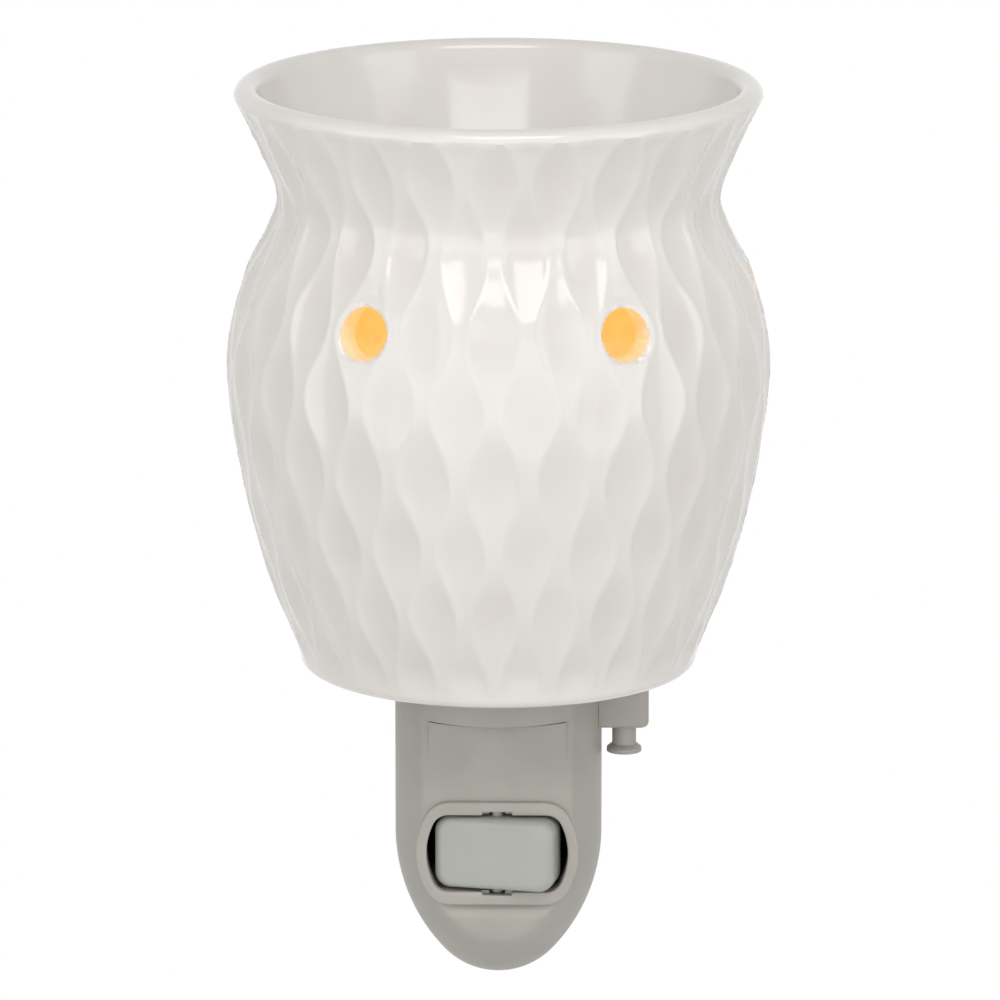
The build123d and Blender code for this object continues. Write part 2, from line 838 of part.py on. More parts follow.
def make_lamp_strip():
    left = leg_x() + strip_thickness
    top = socket_low - leg_reach
    reach = contact_leg_radius * 1.5
    pad = block((-reach, left + strip_width), (axis_y - reach, tray_back + strip_thickness),
                (top - strip_thickness, top))
    drop = block((left, left + strip_width), (tray_back, tray_back + strip_thickness),
                 (switch_z - rivet_radius * 2, top))
    return pad + drop


# Plug that turns in the barrel
def make_blade(side):
    half = blade_width / 2
    x = side * blade_x
    side_x = blade_thickness / 2
    blade = block((x - side_x, x + side_x), (flange_front - blade_tail, blade_length), (-half, half))
    tip_edges = blade.faces().sort_by(Axis.Y)[-1].edges().filter_by(Axis.X)
    return chamfer(tip_edges, blade_point)


def make_plug_rotor():
    rotor = along_y(rotor_radius, flange_back, flange_back + rotor_thickness)
    rotor += along_y(rotor_flange_radius, flange_front, flange_back)
    half = blade_width / 2
    for side in (-1, 1):
        x = side * blade_x
        side_x = blade_thickness / 2
        rotor -= block((x - side_x, x + side_x), (flange_front - cut_over, cut_over), (-half, half))
    return rotor


def make_plug_washer():
    washer = along_y(rotor_flange_radius, retainer_back, flange_front)
    return washer - along_y(retainer_bore, retainer_back - cut_over, flange_front + cut_over)


def make_plug_retainer():
    ring = along_y(barrel_bore - screw_fit, retainer_front, retainer_back)
    ring -= along_y(retainer_bore, retainer_front - cut_over, retainer_back + cut_over)
    for side in (-1, 1):
        ring -= along_y(screw_radius / 2 + screw_fit, retainer_front - cut_over, retainer_back + cut_over,
                        z=side * retainer_screw_circle)
    return ring


def make_contact_carrier():
    disc = along_y(barrel_bore - screw_fit, disc_front, retainer_front)
    disc += along_y(retainer_bore - clearance, retainer_front, brush_back - brush_thickness)
    middle = leg_x()
    for side in (-1, 1):
        x = side * middle
        slot = strip_thickness / 2 + screw_fit
        low = -x - strip_width / 2 - screw_fit
        disc -= block((x - slot, x + slot), (disc_front - cut_over, brush_back),
                      (low, low + strip_width + 2 * screw_fit))
        disc -= along_y(screw_radius / 2 + screw_fit, disc_front - cut_over, retainer_front + cut_over,
                        z=side * retainer_screw_circle)
    return disc


def make_retainer_screws():
    screws = []
    for side in (-1, 1):
        z = side * retainer_screw_circle
        shank = along_y(screw_radius / 2, disc_front, flange_back, z=z)
        screws.append(shank + along_y(screw_radius, disc_front - screw_head_height, disc_front, z=z))
    return Compound(screws)


pieces = {
    "shade": make_shade,
    "wax_dish": make_wax_dish,
    "shade_floor": make_shade_floor,
    "front_housing": make_front_housing,
    "rear_housing": make_rear_housing,
    "plug_barrel": make_plug_barrel,
    "carrier_plate": make_carrier_plate,
    "plate_screws": make_plate_screws,
    "housing_screws": make_housing_screws,
    "lock_pin": make_lock_pin,
    "pin_clip": make_pin_clip,
    "pin_spring": make_pin_spring,
    "lamp_socket": make_lamp_socket,
    "socket_shell": make_socket_shell,
    "socket_contact": make_socket_contact,
    "bulb_glass": make_bulb_glass,
    "bulb_base": make_bulb_base,
    "bulb_insulator": make_bulb_insulator,
    "bulb_tip": make_bulb_tip,
    "bulb_stem": make_bulb_stem,
    "filament_leads": make_filament_leads,
    "filament": make_filament,
    "rocker": make_rocker,
    "rocker_plunger": make_rocker_plunger,
    "rocker_spring": make_rocker_spring,
    "seesaw_contact": make_seesaw_contact,
    "common_terminal": make_common_terminal,
    "load_terminal": make_load_terminal,
    "switch_base": make_switch_base,
    "live_strip": make_live_strip,
    "neutral_strip": make_neutral_strip,
    "lamp_strip": make_lamp_strip,
    "live_blade": lambda: make_blade(1),
    "neutral_blade": lambda: make_blade(-1),
    "plug_rotor": make_plug_rotor,
    "plug_washer": make_plug_washer,
    "plug_retainer": make_plug_retainer,
    "contact_carrier": make_contact_carrier,
    "retainer_screws": make_retainer_screws,
}

os.makedirs("parts", exist_ok=True)
for name, make in pieces.items():
    print(name)
    export_step(make(), f"parts/{name}.step")
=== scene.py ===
import json
import math

import bpy
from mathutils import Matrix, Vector


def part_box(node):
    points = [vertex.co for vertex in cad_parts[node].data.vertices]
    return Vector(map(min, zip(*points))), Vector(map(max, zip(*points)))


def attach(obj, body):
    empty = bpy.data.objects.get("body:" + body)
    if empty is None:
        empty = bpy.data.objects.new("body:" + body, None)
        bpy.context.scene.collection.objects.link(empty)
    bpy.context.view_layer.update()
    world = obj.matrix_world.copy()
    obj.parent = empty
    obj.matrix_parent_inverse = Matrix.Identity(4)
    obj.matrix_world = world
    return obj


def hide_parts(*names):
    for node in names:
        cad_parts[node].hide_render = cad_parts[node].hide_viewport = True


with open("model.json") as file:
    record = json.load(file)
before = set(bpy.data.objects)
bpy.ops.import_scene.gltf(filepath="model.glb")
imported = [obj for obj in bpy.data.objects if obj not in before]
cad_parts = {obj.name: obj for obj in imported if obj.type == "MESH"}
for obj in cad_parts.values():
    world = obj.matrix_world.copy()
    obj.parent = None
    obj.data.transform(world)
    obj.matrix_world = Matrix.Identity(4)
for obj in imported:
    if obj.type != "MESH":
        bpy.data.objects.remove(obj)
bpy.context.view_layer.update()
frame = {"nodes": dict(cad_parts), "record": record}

bpy.context.scene.view_settings.view_transform = "Standard"


# Plug-in wax melt warmer. All sizes below are in millimetres unless a name says otherwise.
mm = 0.001
place = {
    "axisY": -48.0,       # the shade's axis in front of the wall
    "foot": 27.0,         # the shade's foot above the plug's axis
}


def toWorld(x, y, z):
    return Vector((x * mm, (place["axisY"] + y) * mm, (place["foot"] + z) * mm))


def mix(low, high, share):
    return low + (high - low) * share


def easeIn(share):
    # 0 to 1, held there outside, with a soft start and end
    share = min(max(share, 0), 1)
    return share * share * (3 - 2 * share)


# camera, fitted to the photograph: a long lens from slightly above
cameraView = {
    "distance": 1500.0,
    "elevation": 13.1,
    "azimuth": 1.0,
    "aimHeight": 27.7,
    "lens": 325.0,
    "shiftX": 0.0015,
}


def addCamera():
    view = cameraView
    target = toWorld(0, 0, view["aimHeight"])
    up = math.radians(view["elevation"])
    side = math.radians(view["azimuth"])
    reach = view["distance"] * mm
    offset = Vector((math.sin(side) * math.cos(up), -math.cos(side) * math.cos(up), math.sin(up))) * reach
    data = bpy.data.cameras.new("photoCamera")
    data.lens = view["lens"]
    data.shift_x = view["shiftX"]
    data.clip_end = 20
    camera = bpy.data.objects.new("photoCamera", data)
    bpy.context.collection.objects.link(camera)
    camera.location = target + offset
    camera.rotation_euler = (target - camera.location).to_track_quat("-Z", "Y").to_euler()
    bpy.context.scene.camera = camera
    print("camera set")


# colours are written as sRGB hex and turned to linear here
def linear(hexColour):
    parts = [int(hexColour[k:k + 2], 16) / 255 for k in (1, 3, 5)]
    return [c / 12.92 if c <= 0.04045 else ((c + 0.055) / 1.055) ** 2.4 for c in parts] + [1.0]


def addNode(tree, kind, settings=None, inputs=None):
    # a node with its settings, its links and constants, and the stops of a colour ramp
    node = tree.nodes.new(kind)
    for name, value in (settings or {}).items():
        if name == "stops":
            elements = node.color_ramp.elements
            elements[0].position, elements[0].color = value[0]
            elements[1].position, elements[1].color = value[1]
            for position, colour in value[2:]:
                elements.new(position).color = colour
        else:
            setattr(node, name, value)
    for name, value in (inputs or {}).items():
        if isinstance(value, bpy.types.NodeSocket):
            tree.links.new(value, node.inputs[name])
        else:
            node.inputs[name].default_value = value
    return node


def startMaterial(name, inputs):
    material = bpy.data.materials.new(name)
    material.use_nodes = True
    tree = material.node_tree
    tree.nodes.clear()
    shader = addNode(tree, "ShaderNodeBsdfPrincipled", None, inputs)
    addNode(tree, "ShaderNodeOutputMaterial", None, {"Surface": shader.outputs["BSDF"]})
    return material, tree, shader


def toneAndGrain(tree, shader, tones, toneMm, grainMm=0, depthMm=0):
    # two tones that change over toneMm, and a fine relief of grainMm and depthMm where they are given
    coords = addNode(tree, "ShaderNodeTexCoord").outputs["Object"]
    cloud = addNode(tree, "ShaderNodeTexNoise", None, {
        "Vector": coords, "Scale": 1 / (toneMm * mm), "Detail": 2.0})
    stops = [(0.3, linear(tones[0])), (0.7, linear(tones[1]))]
    tone = addNode(tree, "ShaderNodeValToRGB", {"stops": stops}, {"Fac": cloud.outputs["Fac"]})
    tree.links.new(tone.outputs["Color"], shader.inputs["Base Color"])
    if depthMm:
        grain = addNode(tree, "ShaderNodeTexNoise", None, {
            "Vector": coords, "Scale": 1 / (grainMm * mm), "Detail": 3.0})
        relief = addNode(tree, "ShaderNodeBump", None, {
            "Height": grain.outputs["Fac"], "Distance": depthMm * mm})
        tree.links.new(relief.outputs["Normal"], shader.inputs["Normal"])
    return coords, tone.outputs["Color"]


# Glazed white stoneware: a thick clear glaze, darker and warmer in the carved hollows and paler on
# the ridges, partly from pooling and thinning glaze and partly painted shade in the hollows; it has the
# faint waviness of a fired surface.
glaze = {
    "ridge": "#F0EDE9",
    "flat": "#EEEBE7",
    "hollow": "#EAE6E1",
    "mottle": ("#F9F8F6", "#FFFFFF"),
    "mottleMm": 14,
    "roughness": 0.17,
    "waveMm": 5.0,
    "waveDepthMm": 0.05,
}


def glazedStoneware():
    material, tree, shader = startMaterial("glazedStoneware", {
        "IOR": 1.52, "Roughness": glaze["roughness"], "Coat Weight": 0.35, "Coat Roughness": 0.05})
    mottle = toneAndGrain(tree, shader, glaze["mottle"], glaze["mottleMm"], glaze["waveMm"],
                          glaze["waveDepthMm"])[1]
    carve = addNode(tree, "ShaderNodeAttribute", {"attribute_name": "carveDepth"})
    # darker towards the deepest carving: partly glaze pooling, partly painted shade in the hollows
    stops = [(0.0, linear(glaze["ridge"])), (1.0, linear(glaze["hollow"])), (0.15, linear(glaze["flat"]))]
    pooledAndShaded = addNode(tree, "ShaderNodeValToRGB", {"stops": stops}, {"Fac": carve.outputs["Fac"]})
    colour = addNode(tree, "ShaderNodeMixRGB", {"blend_type": "MULTIPLY"}, {
        "Fac": 1.0, "Color1": pooledAndShaded.outputs["Color"], "Color2": mottle})
    tree.links.new(colour.outputs["Color"], shader.inputs["Base Color"])
    return material


# The same stoneware inside the chamber, where the glaze is thin, with the lamp's light painted on as an
# emission glow, yellow up at the lamp's height and paler towards the floor; its warm base tones are painted
# lamp light too.
chamberGlow = {
    "high": "#FFBE56",
    "low": "#FFE2B4",
    "highMm": 49.0,       # heights above the foot
    "lowMm": 40.0,
    "strength": 0.3,
}


def paintedLampGlowStoneware():
    material, tree, shader = startMaterial("paintedLampGlowStoneware", {
        "IOR": 1.5, "Roughness": 0.55, "Emission Strength": chamberGlow["strength"]})
    # warm base tones: part of the painted lamp light
    coords = toneAndGrain(tree, shader, ("#DCCDB9", "#E9DCC8"), 3, 1.2, 0.08)[0]
    height = addNode(tree, "ShaderNodeSeparateXYZ", None, {"Vector": coords}).outputs["Z"]
    share = addNode(tree, "ShaderNodeMapRange", None, {
        "Value": height, "From Min": (place["foot"] + chamberGlow["lowMm"]) * mm,
        "From Max": (place["foot"] + chamberGlow["highMm"]) * mm})
    stops = [(0.0, linear(chamberGlow["low"])), (1.0, linear(chamberGlow["high"]))]
    light = addNode(tree, "ShaderNodeValToRGB", {"stops": stops}, {"Fac": share.outputs["Result"]})
    tree.links.new(light.outputs["Color"], shader.inputs["Emission Color"])
    return material


# Moulded plastics, satin, with a fine spark-eroded texture and slow flow marks: grey polypropylene,
# the rocker's smoother ABS, dark phenolic for the switch's inside and cream urea for the lamp holder.
plastics = {
    "flowMm": 9.0,
    "grainMm": 0.35,      # the real grain is finer; drawn as coarse as it needs to show
    "kinds": {            # name, dark and light tone, roughness, depth of the grain
        "grey": ("mouldedPolypropylene", "#AEABA4", "#B5B2AB", 0.45, 0.012),
        "rocker": ("rockerAbs", "#B0B2AC", "#B5B7B1", 0.33, 0.006),
        "dark": ("darkPhenolic", "#1C1C1F", "#26262A", 0.4, 0.01),
        "cream": ("creamUrea", "#DCD5C6", "#E6E0D2", 0.35, 0.008),
    },
}


def mouldedPlastic(name, dark, light, roughness, depthMm):
    material, tree, shader = startMaterial(name, {"IOR": 1.49, "Roughness": roughness})
    toneAndGrain(tree, shader, (dark, light), plastics["flowMm"], plastics["grainMm"], depthMm)
    return material


# Rolled brass strip: warm yellow, with faint scratches of rolling.
def rolledBrass():
    material, tree, shader = startMaterial("rolledBrass", {"Metallic": 1.0, "Roughness": 0.28})
    toneAndGrain(tree, shader, ("#C9A25B", "#DDBB74"), 4, 0.25, 0.01)
    return material


# Nickel-plated steel: paler and harder than brass, used for screws, springs and lamp leads.
def platedSteel():
    material, tree, shader = startMaterial("platedSteel", {"Metallic": 1.0, "Roughness": 0.3})
    toneAndGrain(tree, shader, ("#B5B6B8", "#D2D3D4"), 2, 0.3, 0.006)
    return material


lampLight = {
    "glassGlow": "#FFB65A",
    "glassStrength": 0.7,
    "wireGlow": "#FFC878",
    "wireStrength": 9.0,
}


# Soda-lime lamp glass, lit from inside: frosted, with a warm glow of its own.
def lampGlass():
    material, tree, shader = startMaterial("lampGlass", {
        "IOR": 1.5, "Roughness": 0.25, "Transmission Weight": 0.6,
        "Emission Color": linear(lampLight["glassGlow"]), "Emission Strength": lampLight["glassStrength"]})
    toneAndGrain(tree, shader, ("#F2EDE4", "#FFFBF4"), 1.5)
    return material


# Tungsten wire at white heat, seen as a warm yellow glow.
def glowingWire():
    material, tree, shader = startMaterial("glowingWire", {
        "Roughness": 0.6, "Emission Color": linear(lampLight["wireGlow"]),
        "Emission Strength": lampLight["wireStrength"]})
    toneAndGrain(tree, shader, ("#F2C080", "#FFE0B0"), 0.5)
    return material


# Black vitrite, the glass insulator of a lamp's base: glossy with small pits.
def blackVitrite():
    material, tree, shader = startMaterial("blackVitrite", {"IOR": 1.55, "Roughness": 0.12})
    toneAndGrain(tree, shader, ("#141418", "#26262C"), 1, 0.6, 0.02)
    return material


def giveMaterial(piece, material):
    piece.data.materials.clear()
    piece.data.materials.append(material)


# the nodes that keep the CAD model's own shape, by finish
plainNodes = {
    "dark": ["switch_base", "contact_carrier", "plug_retainer", "rocker_plunger"],
    "brass": ["socket_contact", "seesaw_contact", "common_terminal", "load_terminal", "live_strip",
              "neutral_strip", "lamp_strip"],
    "steel": ["pin_clip", "pin_spring", "rocker_spring", "plug_washer", "filament_leads", "bulb_tip"],
    "glass": ["bulb_glass", "bulb_stem"],
    "wire": ["filament"],
    "vitrite": ["bulb_insulator"],
}


def colourPlainNodes():
    for finish, names in plainNodes.items():
        for name in names:
            giveMaterial(frame["nodes"][name], finishes[finish])
    print("materials on the frame's own nodes")


def deselectAll():
    if bpy.context.object and bpy.context.object.mode != "OBJECT":
        bpy.ops.object.mode_set(mode="OBJECT")
    bpy.ops.object.select_all(action="DESELECT")


def pickOnly(piece):
    deselectAll()
    piece.select_set(True)
    bpy.context.view_layer.objects.active = piece


def newPiece(name, points, edges, faces):
    # a new mesh from points in millimetres
    mesh = bpy.data.meshes.new(name)
    mesh.from_pydata([[value * mm for value in point] for point in points], edges, faces)
    piece = bpy.data.objects.new(name, mesh)
    bpy.context.collection.objects.link(piece)
    return piece


def editAll(piece):
    pickOnly(piece)
    bpy.ops.object.mode_set(mode="EDIT")
    bpy.ops.mesh.select_all(action="SELECT")


def closeSkin(mergeMm=0):
    # merges points that meet, turns the faces outwards and leaves edit mode
    bpy.ops.mesh.select_all(action="SELECT")
    if mergeMm:
        bpy.ops.mesh.remove_doubles(threshold=mergeMm * mm)
    bpy.ops.mesh.normals_make_consistent(inside=False)
    bpy.ops.object.mode_set(mode="OBJECT")


def spinLine(piece, steps, centre, mergeMm):
    # spins a line of points once round the upright axis through the centre
    editAll(piece)
    bpy.ops.mesh.spin(steps=steps, angle=math.radians(360), center=centre, axis=(0, 0, 1))
    closeSkin(mergeMm)


def applyModifier(piece, kind, name, **settings):
    modifier = piece.modifiers.new(name, kind)
    for key, value in settings.items():
        setattr(modifier, key, value)
    pickOnly(piece)
    bpy.ops.object.modifier_apply(modifier=modifier.name)


def breakEdges(piece, name, widthMm, segments, sharpDeg=30):
    applyModifier(piece, "BEVEL", name, width=widthMm * mm, segments=segments, limit_method="ANGLE",
                  angle_limit=math.radians(sharpDeg))


def cutWith(piece, cutter):
    applyModifier(piece, "BOOLEAN", "cut", object=cutter, operation="DIFFERENCE", solver="EXACT")
    bpy.data.objects.remove(cutter)


def joinPieces(pieces, name):
    deselectAll()
    for piece in pieces:
        piece.select_set(True)
    bpy.context.view_layer.objects.active = pieces[0]
    bpy.ops.object.join()
    pieces[0].name = name
    return pieces[0]


def mergedCopy(node, name):
    # a CAD node's mesh is loose triangles, so the copy is merged and its flat faces are joined
    piece = bpy.data.objects.new(name, frame["nodes"][node].data.copy())
    bpy.context.collection.objects.link(piece)
    editAll(piece)
    bpy.ops.mesh.remove_doubles(threshold=0.002 * mm)
    bpy.ops.mesh.dissolve_limited(angle_limit=math.radians(0.5))
    bpy.ops.object.mode_set(mode="OBJECT")
    return piece


def finishPiece(piece, finish, body, smoothDeg):
    pickOnly(piece)
    bpy.ops.object.transform_apply(location=True, rotation=True, scale=True)
    bpy.ops.object.shade_smooth_by_angle(angle=math.radians(smoothDeg))
    giveMaterial(piece, finishes[finish])
    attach(piece, body)


# the shade's profile: heights above its foot and radii
shade = {
    "height": 98.2,
    "footRadius": 33.0,
    "footRound": 2.0,
    "bellyRadius": 45.0,
    "bellyHeight": 52.8,
    "neckRadius": 36.6,
    "neckHeight": 79.3,
    "rimRadius": 43.6,
    "lipRound": 2.1,
    "wall": 4.0,
    "dishDepth": 24.0,
    "dishFloor": 4.5,
    "floorLift": 3.0,
    "floorThickness": 4.0,
    "footRing": 4.2,
    "footChamfer": 0.4,
    "floorHole": 17.7,
    "pinOffset": 21.0,    # the notch for the lock pin, in the floor's hole
    "pinReach": 2.45,
    "steps": 576,
    "rowMm": 1.15,        # rows of the carved wall, and finer ones about the vents
    "ventRowMm": 0.55,
    "dishRowMm": 3.0,
    "chamberRowMm": 6.0,
    "smoothDeg": 40,
}

# the carved lattice: columns of lens-shaped scoops, each column half a wave above the next
lattice = {
    "columns": 48,
    "waveMm": 24.0,
    "waveStart": 88.0,
    "sway": 1.85,         # degrees that a ridge swings to each side
    "depthMm": 0.85,
    "narrow": 1.6,        # how fast a scoop gets shallow where it narrows
    "crest": 0.62,        # higher is a rounder ridge and a narrower hollow
    "uneven": 0.14,       # how far hand carving strays from the even lattice
    "fadeTop": 94.0,
    "fadeTopMm": 3.0,
    "fadeFootMm": 4.0,
}

vent = {
    "count": 6,
    "radius": 4.25,
    "height": 63.6,
    "roundMm": 0.9,       # the glaze rounds the mouth over this width
    "flatMm": 1.6,        # and the carving stops this far from it
    "fineMm": 2.5,        # the finer rows reach this far above and below
}


def outerKeys():
    s = shade
    lipZ = s["height"] - s["lipRound"]
    keys = [(s["footRadius"], s["footRound"])]
    for radiusShare, heightShare in ((0.5, 0.31), (0.84, 0.64), (1.0, 1.0)):
        keys.append((mix(s["footRadius"], s["bellyRadius"], radiusShare),
                     mix(s["footRound"], s["bellyHeight"], heightShare)))
    for radiusShare, heightShare in ((0.333, 0.5), (0.8, 0.8), (1.0, 1.0)):
        keys.append((mix(s["bellyRadius"], s["neckRadius"], radiusShare),
                     mix(s["bellyHeight"], s["neckHeight"], heightShare)))
    for radiusShare, heightShare in ((0.42, 0.5), (1.0, 1.0)):
        keys.append((mix(s["neckRadius"], s["rimRadius"], radiusShare),
                     mix(s["neckHeight"], lipZ, heightShare)))
    return keys


def dishKeys():
    s = shade
    lipZ = s["height"] - s["lipRound"]
    lipInner = s["rimRadius"] - 2 * s["lipRound"]
    low = s["height"] - s["dishDepth"]
    radius = s["neckRadius"] - s["wall"]
    keys = [(lipInner, lipZ)]
    for radiusShare, heightShare in ((0.55, 0.62), (0.0, 0.27)):
        keys.append((mix(radius, lipInner, radiusShare), mix(low, lipZ, heightShare)))
    return keys + [(radius * 0.75, low + s["lipRound"] * 0.75), (0, low)]


def chamberKeys():
    s = shade
    roof = s["height"] - s["dishDepth"] - s["dishFloor"]
    radius = s["neckRadius"] - s["wall"]
    return [(0, roof), (radius * 0.7, roof + s["lipRound"] * 0.3), (radius, roof),
            (mix(s["bellyRadius"], s["neckRadius"], 0.42) - s["wall"],
             mix(s["bellyHeight"], s["neckHeight"], 0.45)),
            (s["bellyRadius"] - s["wall"], s["bellyHeight"]),
            (mix(s["footRadius"], s["bellyRadius"], 0.5) - s["wall"],
             mix(s["footRound"], s["bellyHeight"], 0.31)),
            (mix(s["footRadius"], s["bellyRadius"], 0.13) - s["wall"], s["floorLift"] + s["floorThickness"])]


def catmullPoint(before, start, end, after, t):
    # centripetal spacing keeps the curve from overshooting uneven keys
    def knot(a, b):
        return max(math.dist(a, b), 1e-6) ** 0.5
    t1 = knot(before, start) if before != start else knot(start, end)
    t2 = t1 + knot(start, end)
    t3 = t2 + (knot(end, after) if after != end else knot(start, end))
    if before == start:
        before = tuple(2 * s - e for s, e in zip(start, end))
    if after == end:
        after = tuple(2 * e - s for s, e in zip(start, end))
    x = mix(t1, t2, t)
    result = []
    for p0, p1, p2, p3 in zip(before, start, end, after):
        a1 = p0 + (p1 - p0) * x / t1
        a2 = p1 + (p2 - p1) * (x - t1) / (t2 - t1)
        a3 = p2 + (p3 - p2) * (x - t2) / (t3 - t2)
        b1 = a1 + (a2 - a1) * x / t2
        b2 = a2 + (a3 - a2) * (x - t1) / (t3 - t1)
        result.append(b1 + (b2 - b1) * (x - t1) / (t2 - t1))
    return tuple(result)


def smoothCurve(keys, stepMm, fineStep=None):
    # a curve through the keys, read at even steps along it, or finer ones at the vents' height
    dense = 60            # points worked out between two keys
    fine = []
    for k in range(len(keys) - 1):
        before = keys[max(k - 1, 0)]
        after = keys[min(k + 2, len(keys) - 1)]
        for j in range(dense):
            fine.append(catmullPoint(before, keys[k], keys[k + 1], after, j / dense))
    fine.append(keys[-1])
    points = [fine[0]]
    gone = 0.0
    for k in range(1, len(fine)):
        gone += math.dist(fine[k - 1], fine[k])
        nearVent = fineStep and abs(fine[k][1] - vent["height"]) < vent["radius"] + vent["fineMm"]
        if gone >= (fineStep if nearVent else stepMm):
            points.append(fine[k])
            gone = 0.0
    if math.dist(points[-1], fine[-1]) < stepMm / 3:
        points.pop()
    return points + [fine[-1]]


def arcPoints(centre, radius, startDeg, endDeg, count):
    points = []
    for k in range(count + 1):
        turn = math.radians(mix(startDeg, endDeg, k / count))
        points.append((centre[0] + radius * math.cos(turn), centre[1] + radius * math.sin(turn)))
    return points


def shadeProfile():
    # (radius, height) points all round the wall: foot, outside, lip, dish, chamber and floor
    s = shade
    lipZ = s["height"] - s["lipRound"]
    floorTop = s["floorLift"] + s["floorThickness"]
    ringInner = s["footRadius"] - s["footRing"]
    foot = arcPoints((s["footRadius"] - s["footRound"], s["footRound"]), s["footRound"], -90, 0, 5)
    lip = arcPoints((s["rimRadius"] - s["lipRound"], lipZ), s["lipRound"], 0, 180, 10)
    outer = smoothCurve(outerKeys(), s["rowMm"], s["ventRowMm"])
    dish = smoothCurve(dishKeys(), s["dishRowMm"])
    chamber = smoothCurve(chamberKeys(), s["chamberRowMm"])
    closing = [(s["floorHole"], floorTop), (s["floorHole"], s["floorLift"]), (ringInner, s["floorLift"]),
               (ringInner, s["footChamfer"]), (ringInner + s["footChamfer"], 0), foot[0]]
    return foot[:-1] + outer[:-1] + lip[:-1] + dish + chamber + closing


def ridgeAngle(ridge, height):
    # where a ridge runs at a height: each sways against its neighbours, and no two are quite alike
    pitch = 360 / lattice["columns"]
    own = ridge % lattice["columns"]
    shift = lattice["waveStart"] + 6 * lattice["uneven"] * math.sin(own * 1.7 + 0.5)
    wave = math.cos(2 * math.pi * (height - shift) / lattice["waveMm"])
    sway = lattice["sway"] * (1 + lattice["uneven"] * math.sin(own * 2.4))
    drift = lattice["uneven"] * math.sin(height / 4.3 + own * 3.1)
    return pitch * (ridge + 0.5) + (sway if ridge % 2 == 0 else -sway) * wave + drift


def carveShare(angle, height):
    # how deep the carving is, 0 to 1, at an angle in degrees from the front and a height
    pitch = 360 / lattice["columns"]
    column = math.floor(angle / pitch + 0.5)
    for k in (column, column - 1, column + 1):
        left, right = ridgeAngle(k - 1, height), ridgeAngle(k, height)
        if left <= angle <= right:
            across = 2 * (angle - left) / (right - left) - 1
            widest = pitch + 2 * lattice["sway"]
            return (min((right - left) / widest, 1) ** lattice["narrow"]
                    * (1 - across * across) ** lattice["crest"])
    return 0.0


def carveFade(height):
    top = easeIn((lattice["fadeTop"] + lattice["fadeTopMm"] - height) / lattice["fadeTopMm"])
    return top * easeIn((height - shade["footRound"]) / lattice["fadeFootMm"])


def ventDistance(x, y, z):
    # distance from the axis of the nearest vent
    pitch = 360 / vent["count"]
    angle = math.degrees(math.atan2(x, -y))
    turn = math.radians((math.floor(angle / pitch) + 0.5) * pitch)
    return math.hypot(x * math.cos(turn) + y * math.sin(turn), z - vent["height"])


def fromFoot(point):
    # a point in millimetres from the middle of the shade's foot
    return point.x / mm, point.y / mm - place["axisY"], point.z / mm - place["foot"]


def onOuterWall(x, y, z, normal):
    # leaves out the dish, the chamber, the lip and the underside
    facing = (normal.x * x + normal.y * y) / max(math.hypot(x, y), 1e-6)
    lipZ = shade["height"] - shade["lipRound"]
    return (facing >= 0.2 and shade["footRound"] * 0.5 <= z <= lipZ + 0.1
            and math.hypot(x, y) >= shade["footRadius"] - 0.5)


def carveShade(piece):
    # moves the outer wall's points in along their normals, and notes the depth that darkens the glaze in the
    # hollows, partly as pooling and partly as painted shade
    mesh = piece.data
    normals = [vertex.normal.copy() for vertex in mesh.vertices]
    depth = mesh.attributes.new("carveDepth", "FLOAT", "POINT")
    soft = vent["roundMm"]
    for vertex, normal in zip(mesh.vertices, normals):
        x, y, z = fromFoot(vertex.co)
        if not onOuterWall(x, y, z, normal):
            continue
        share = carveShare(math.degrees(math.atan2(x, -y)), z) * carveFade(z)
        away = ventDistance(x, y, z) - vent["radius"]
        share *= min(max(away / vent["flatMm"], 0), 1)
        sink = share * lattice["depthMm"]
        inside = soft - max(away, 0)
        if inside > 0:
            sink += soft - math.sqrt(max(soft ** 2 - min(inside, soft) ** 2, 0))
        vertex.co -= normal * sink * mm
        depth.data[vertex.index].value = share


def cutHoles(piece):
    # round vents through the wall, and the notch for the lock pin in the floor, cut in one go
    ventOut, ventLong = 40, 24
    notchMiddle, notchLong, notchIn = 5, 12, 9
    deselectAll()
    cutters = []
    for k in range(vent["count"]):
        turn = math.radians((k + 0.5) * 360 / vent["count"])
        middle = toWorld(math.sin(turn) * ventOut, -math.cos(turn) * ventOut, vent["height"])
        bpy.ops.mesh.primitive_cylinder_add(vertices=48, radius=vent["radius"] * mm, depth=ventLong * mm,
                                            location=middle, rotation=(math.radians(90), 0, turn))
        cutters.append(bpy.context.object)
    bpy.ops.mesh.primitive_cylinder_add(vertices=32, radius=shade["pinReach"] * mm, depth=notchLong * mm,
                                        location=toWorld(shade["pinOffset"], 0, notchMiddle))
    notch = bpy.context.object
    for vertex in notch.data.vertices:
        if vertex.co.x < -1e-5:      # its inner half is drawn out into the floor's hole
            vertex.co.x -= notchIn * mm
    cutWith(piece, joinPieces([notch] + cutters, "holes"))
    print("vents cut")


def lightChamber(piece):
    # the faces of the chamber, and of the vents' tunnels behind their rounded mouths, take the second
    # material, which paints the lamp's light on them as a glow
    s = shade
    slack = 1.0
    tunnelFrom = vent["roundMm"] * 0.6
    wall = smoothCurve(outerKeys(), 2.0)
    low = s["floorLift"] + s["floorThickness"] * 0.5
    high = s["height"] - s["dishDepth"] - slack
    for face in piece.data.polygons:
        x, y, z = fromFoot(face.center)
        if z < low or z > high:
            continue
        deep = min(wall, key=lambda point: abs(point[1] - z))[0] - math.hypot(x, y)
        inVent = ventDistance(x, y, z) < vent["radius"] + 0.05 and deep > tunnelFrom
        if inVent or deep > s["wall"] - slack:
            face.material_index = 1


